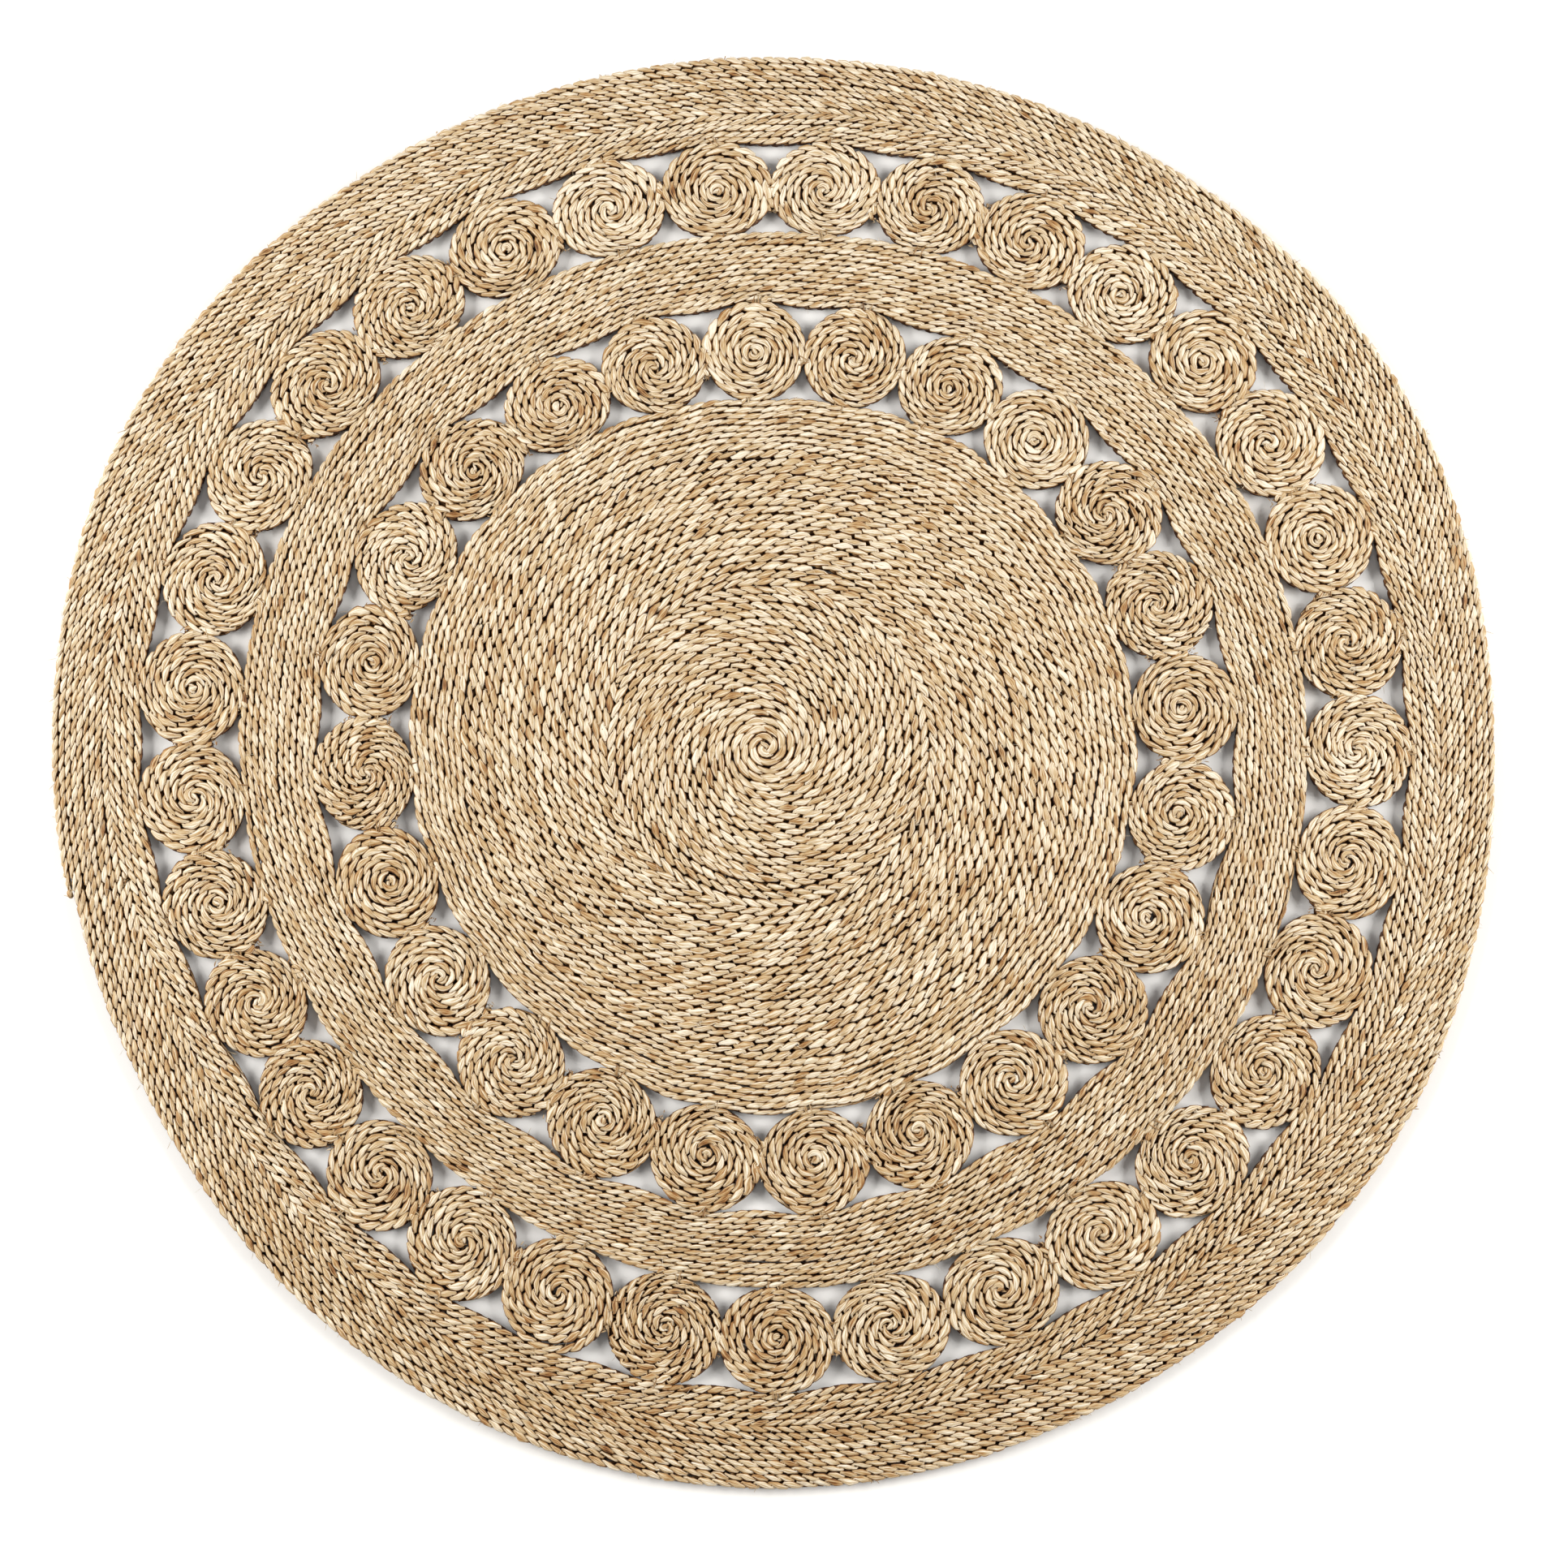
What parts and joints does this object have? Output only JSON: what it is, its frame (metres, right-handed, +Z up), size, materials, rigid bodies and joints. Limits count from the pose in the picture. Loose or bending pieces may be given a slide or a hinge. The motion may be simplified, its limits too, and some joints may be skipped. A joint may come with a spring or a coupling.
{
  "type": "round braided jute rug",
  "caption": "Round area rug of natural jute braid: a coiled centre, two open rings of small coiled rosettes and two plain coiled bands, sewn edge to edge.",
  "frame": {"origin": "eye of the centre coil, in the plane of the underside", "axes": "+Z up, out of the upper side; +X and +Y lie in the floor plane, and the cut end of the outermost row lies near -X"},
  "size_m": [1.4996, 1.499, 0.011],
  "materials": {
    "centre_jute": "dry, faintly glossy undyed jute braid in straw and tan",
    "rosette_jute": "dry undyed jute braid wound into small tight coils, slightly darker, with brown cut ends",
    "band_jute": "dry undyed jute braid in straw and tan",
    "border_jute": "dry undyed jute braid in straw, tan and light brown, with loose hairs along its rim"
  },
  "bodies": {
    "root": {"centre_coil": "centre_jute", "inner_rosette_01": "rosette_jute", "inner_rosette_02": "rosette_jute", "inner_rosette_03": "rosette_jute", "inner_rosette_04": "rosette_jute", "inner_rosette_05": "rosette_jute", "inner_rosette_06": "rosette_jute", "inner_rosette_07": "rosette_jute", "inner_rosette_08": "rosette_jute", "inner_rosette_09": "rosette_jute", "inner_rosette_10": "rosette_jute", "inner_rosette_11": "rosette_jute", "inner_rosette_12": "rosette_jute", "inner_rosette_13": "rosette_jute", "inner_rosette_14": "rosette_jute", "inner_rosette_15": "rosette_jute", "inner_rosette_16": "rosette_jute", "inner_rosette_17": "rosette_jute", "inner_rosette_18": "rosette_jute", "inner_rosette_19": "rosette_jute", "inner_rosette_20": "rosette_jute", "inner_rosette_21": "rosette_jute", "inner_rosette_22": "rosette_jute", "inner_rosette_23": "rosette_jute", "inner_rosette_24": "rosette_jute", "middle_band": "band_jute", "outer_rosette_01": "rosette_jute", "outer_rosette_02": "rosette_jute", "outer_rosette_03": "rosette_jute", "outer_rosette_04": "rosette_jute", "outer_rosette_05": "rosette_jute", "outer_rosette_06": "rosette_jute", "outer_rosette_07": "rosette_jute", "outer_rosette_08": "rosette_jute", "outer_rosette_09": "rosette_jute", "outer_rosette_10": "rosette_jute", "outer_rosette_11": "rosette_jute", "outer_rosette_12": "rosette_jute", "outer_rosette_13": "rosette_jute", "outer_rosette_14": "rosette_jute", "outer_rosette_15": "rosette_jute", "outer_rosette_16": "rosette_jute", "outer_rosette_17": "rosette_jute", "outer_rosette_18": "rosette_jute", "outer_rosette_19": "rosette_jute", "outer_rosette_20": "rosette_jute", "outer_rosette_21": "rosette_jute", "outer_rosette_22": "rosette_jute", "outer_rosette_23": "rosette_jute", "outer_rosette_24": "rosette_jute", "outer_rosette_25": "rosette_jute", "outer_rosette_26": "rosette_jute", "outer_rosette_27": "rosette_jute", "outer_rosette_28": "rosette_jute", "outer_rosette_29": "rosette_jute", "outer_rosette_30": "rosette_jute", "outer_rosette_31": "rosette_jute", "outer_rosette_32": "rosette_jute", "outer_rosette_33": "rosette_jute", "outer_border": "border_jute"}
  },
  "joints": []
}
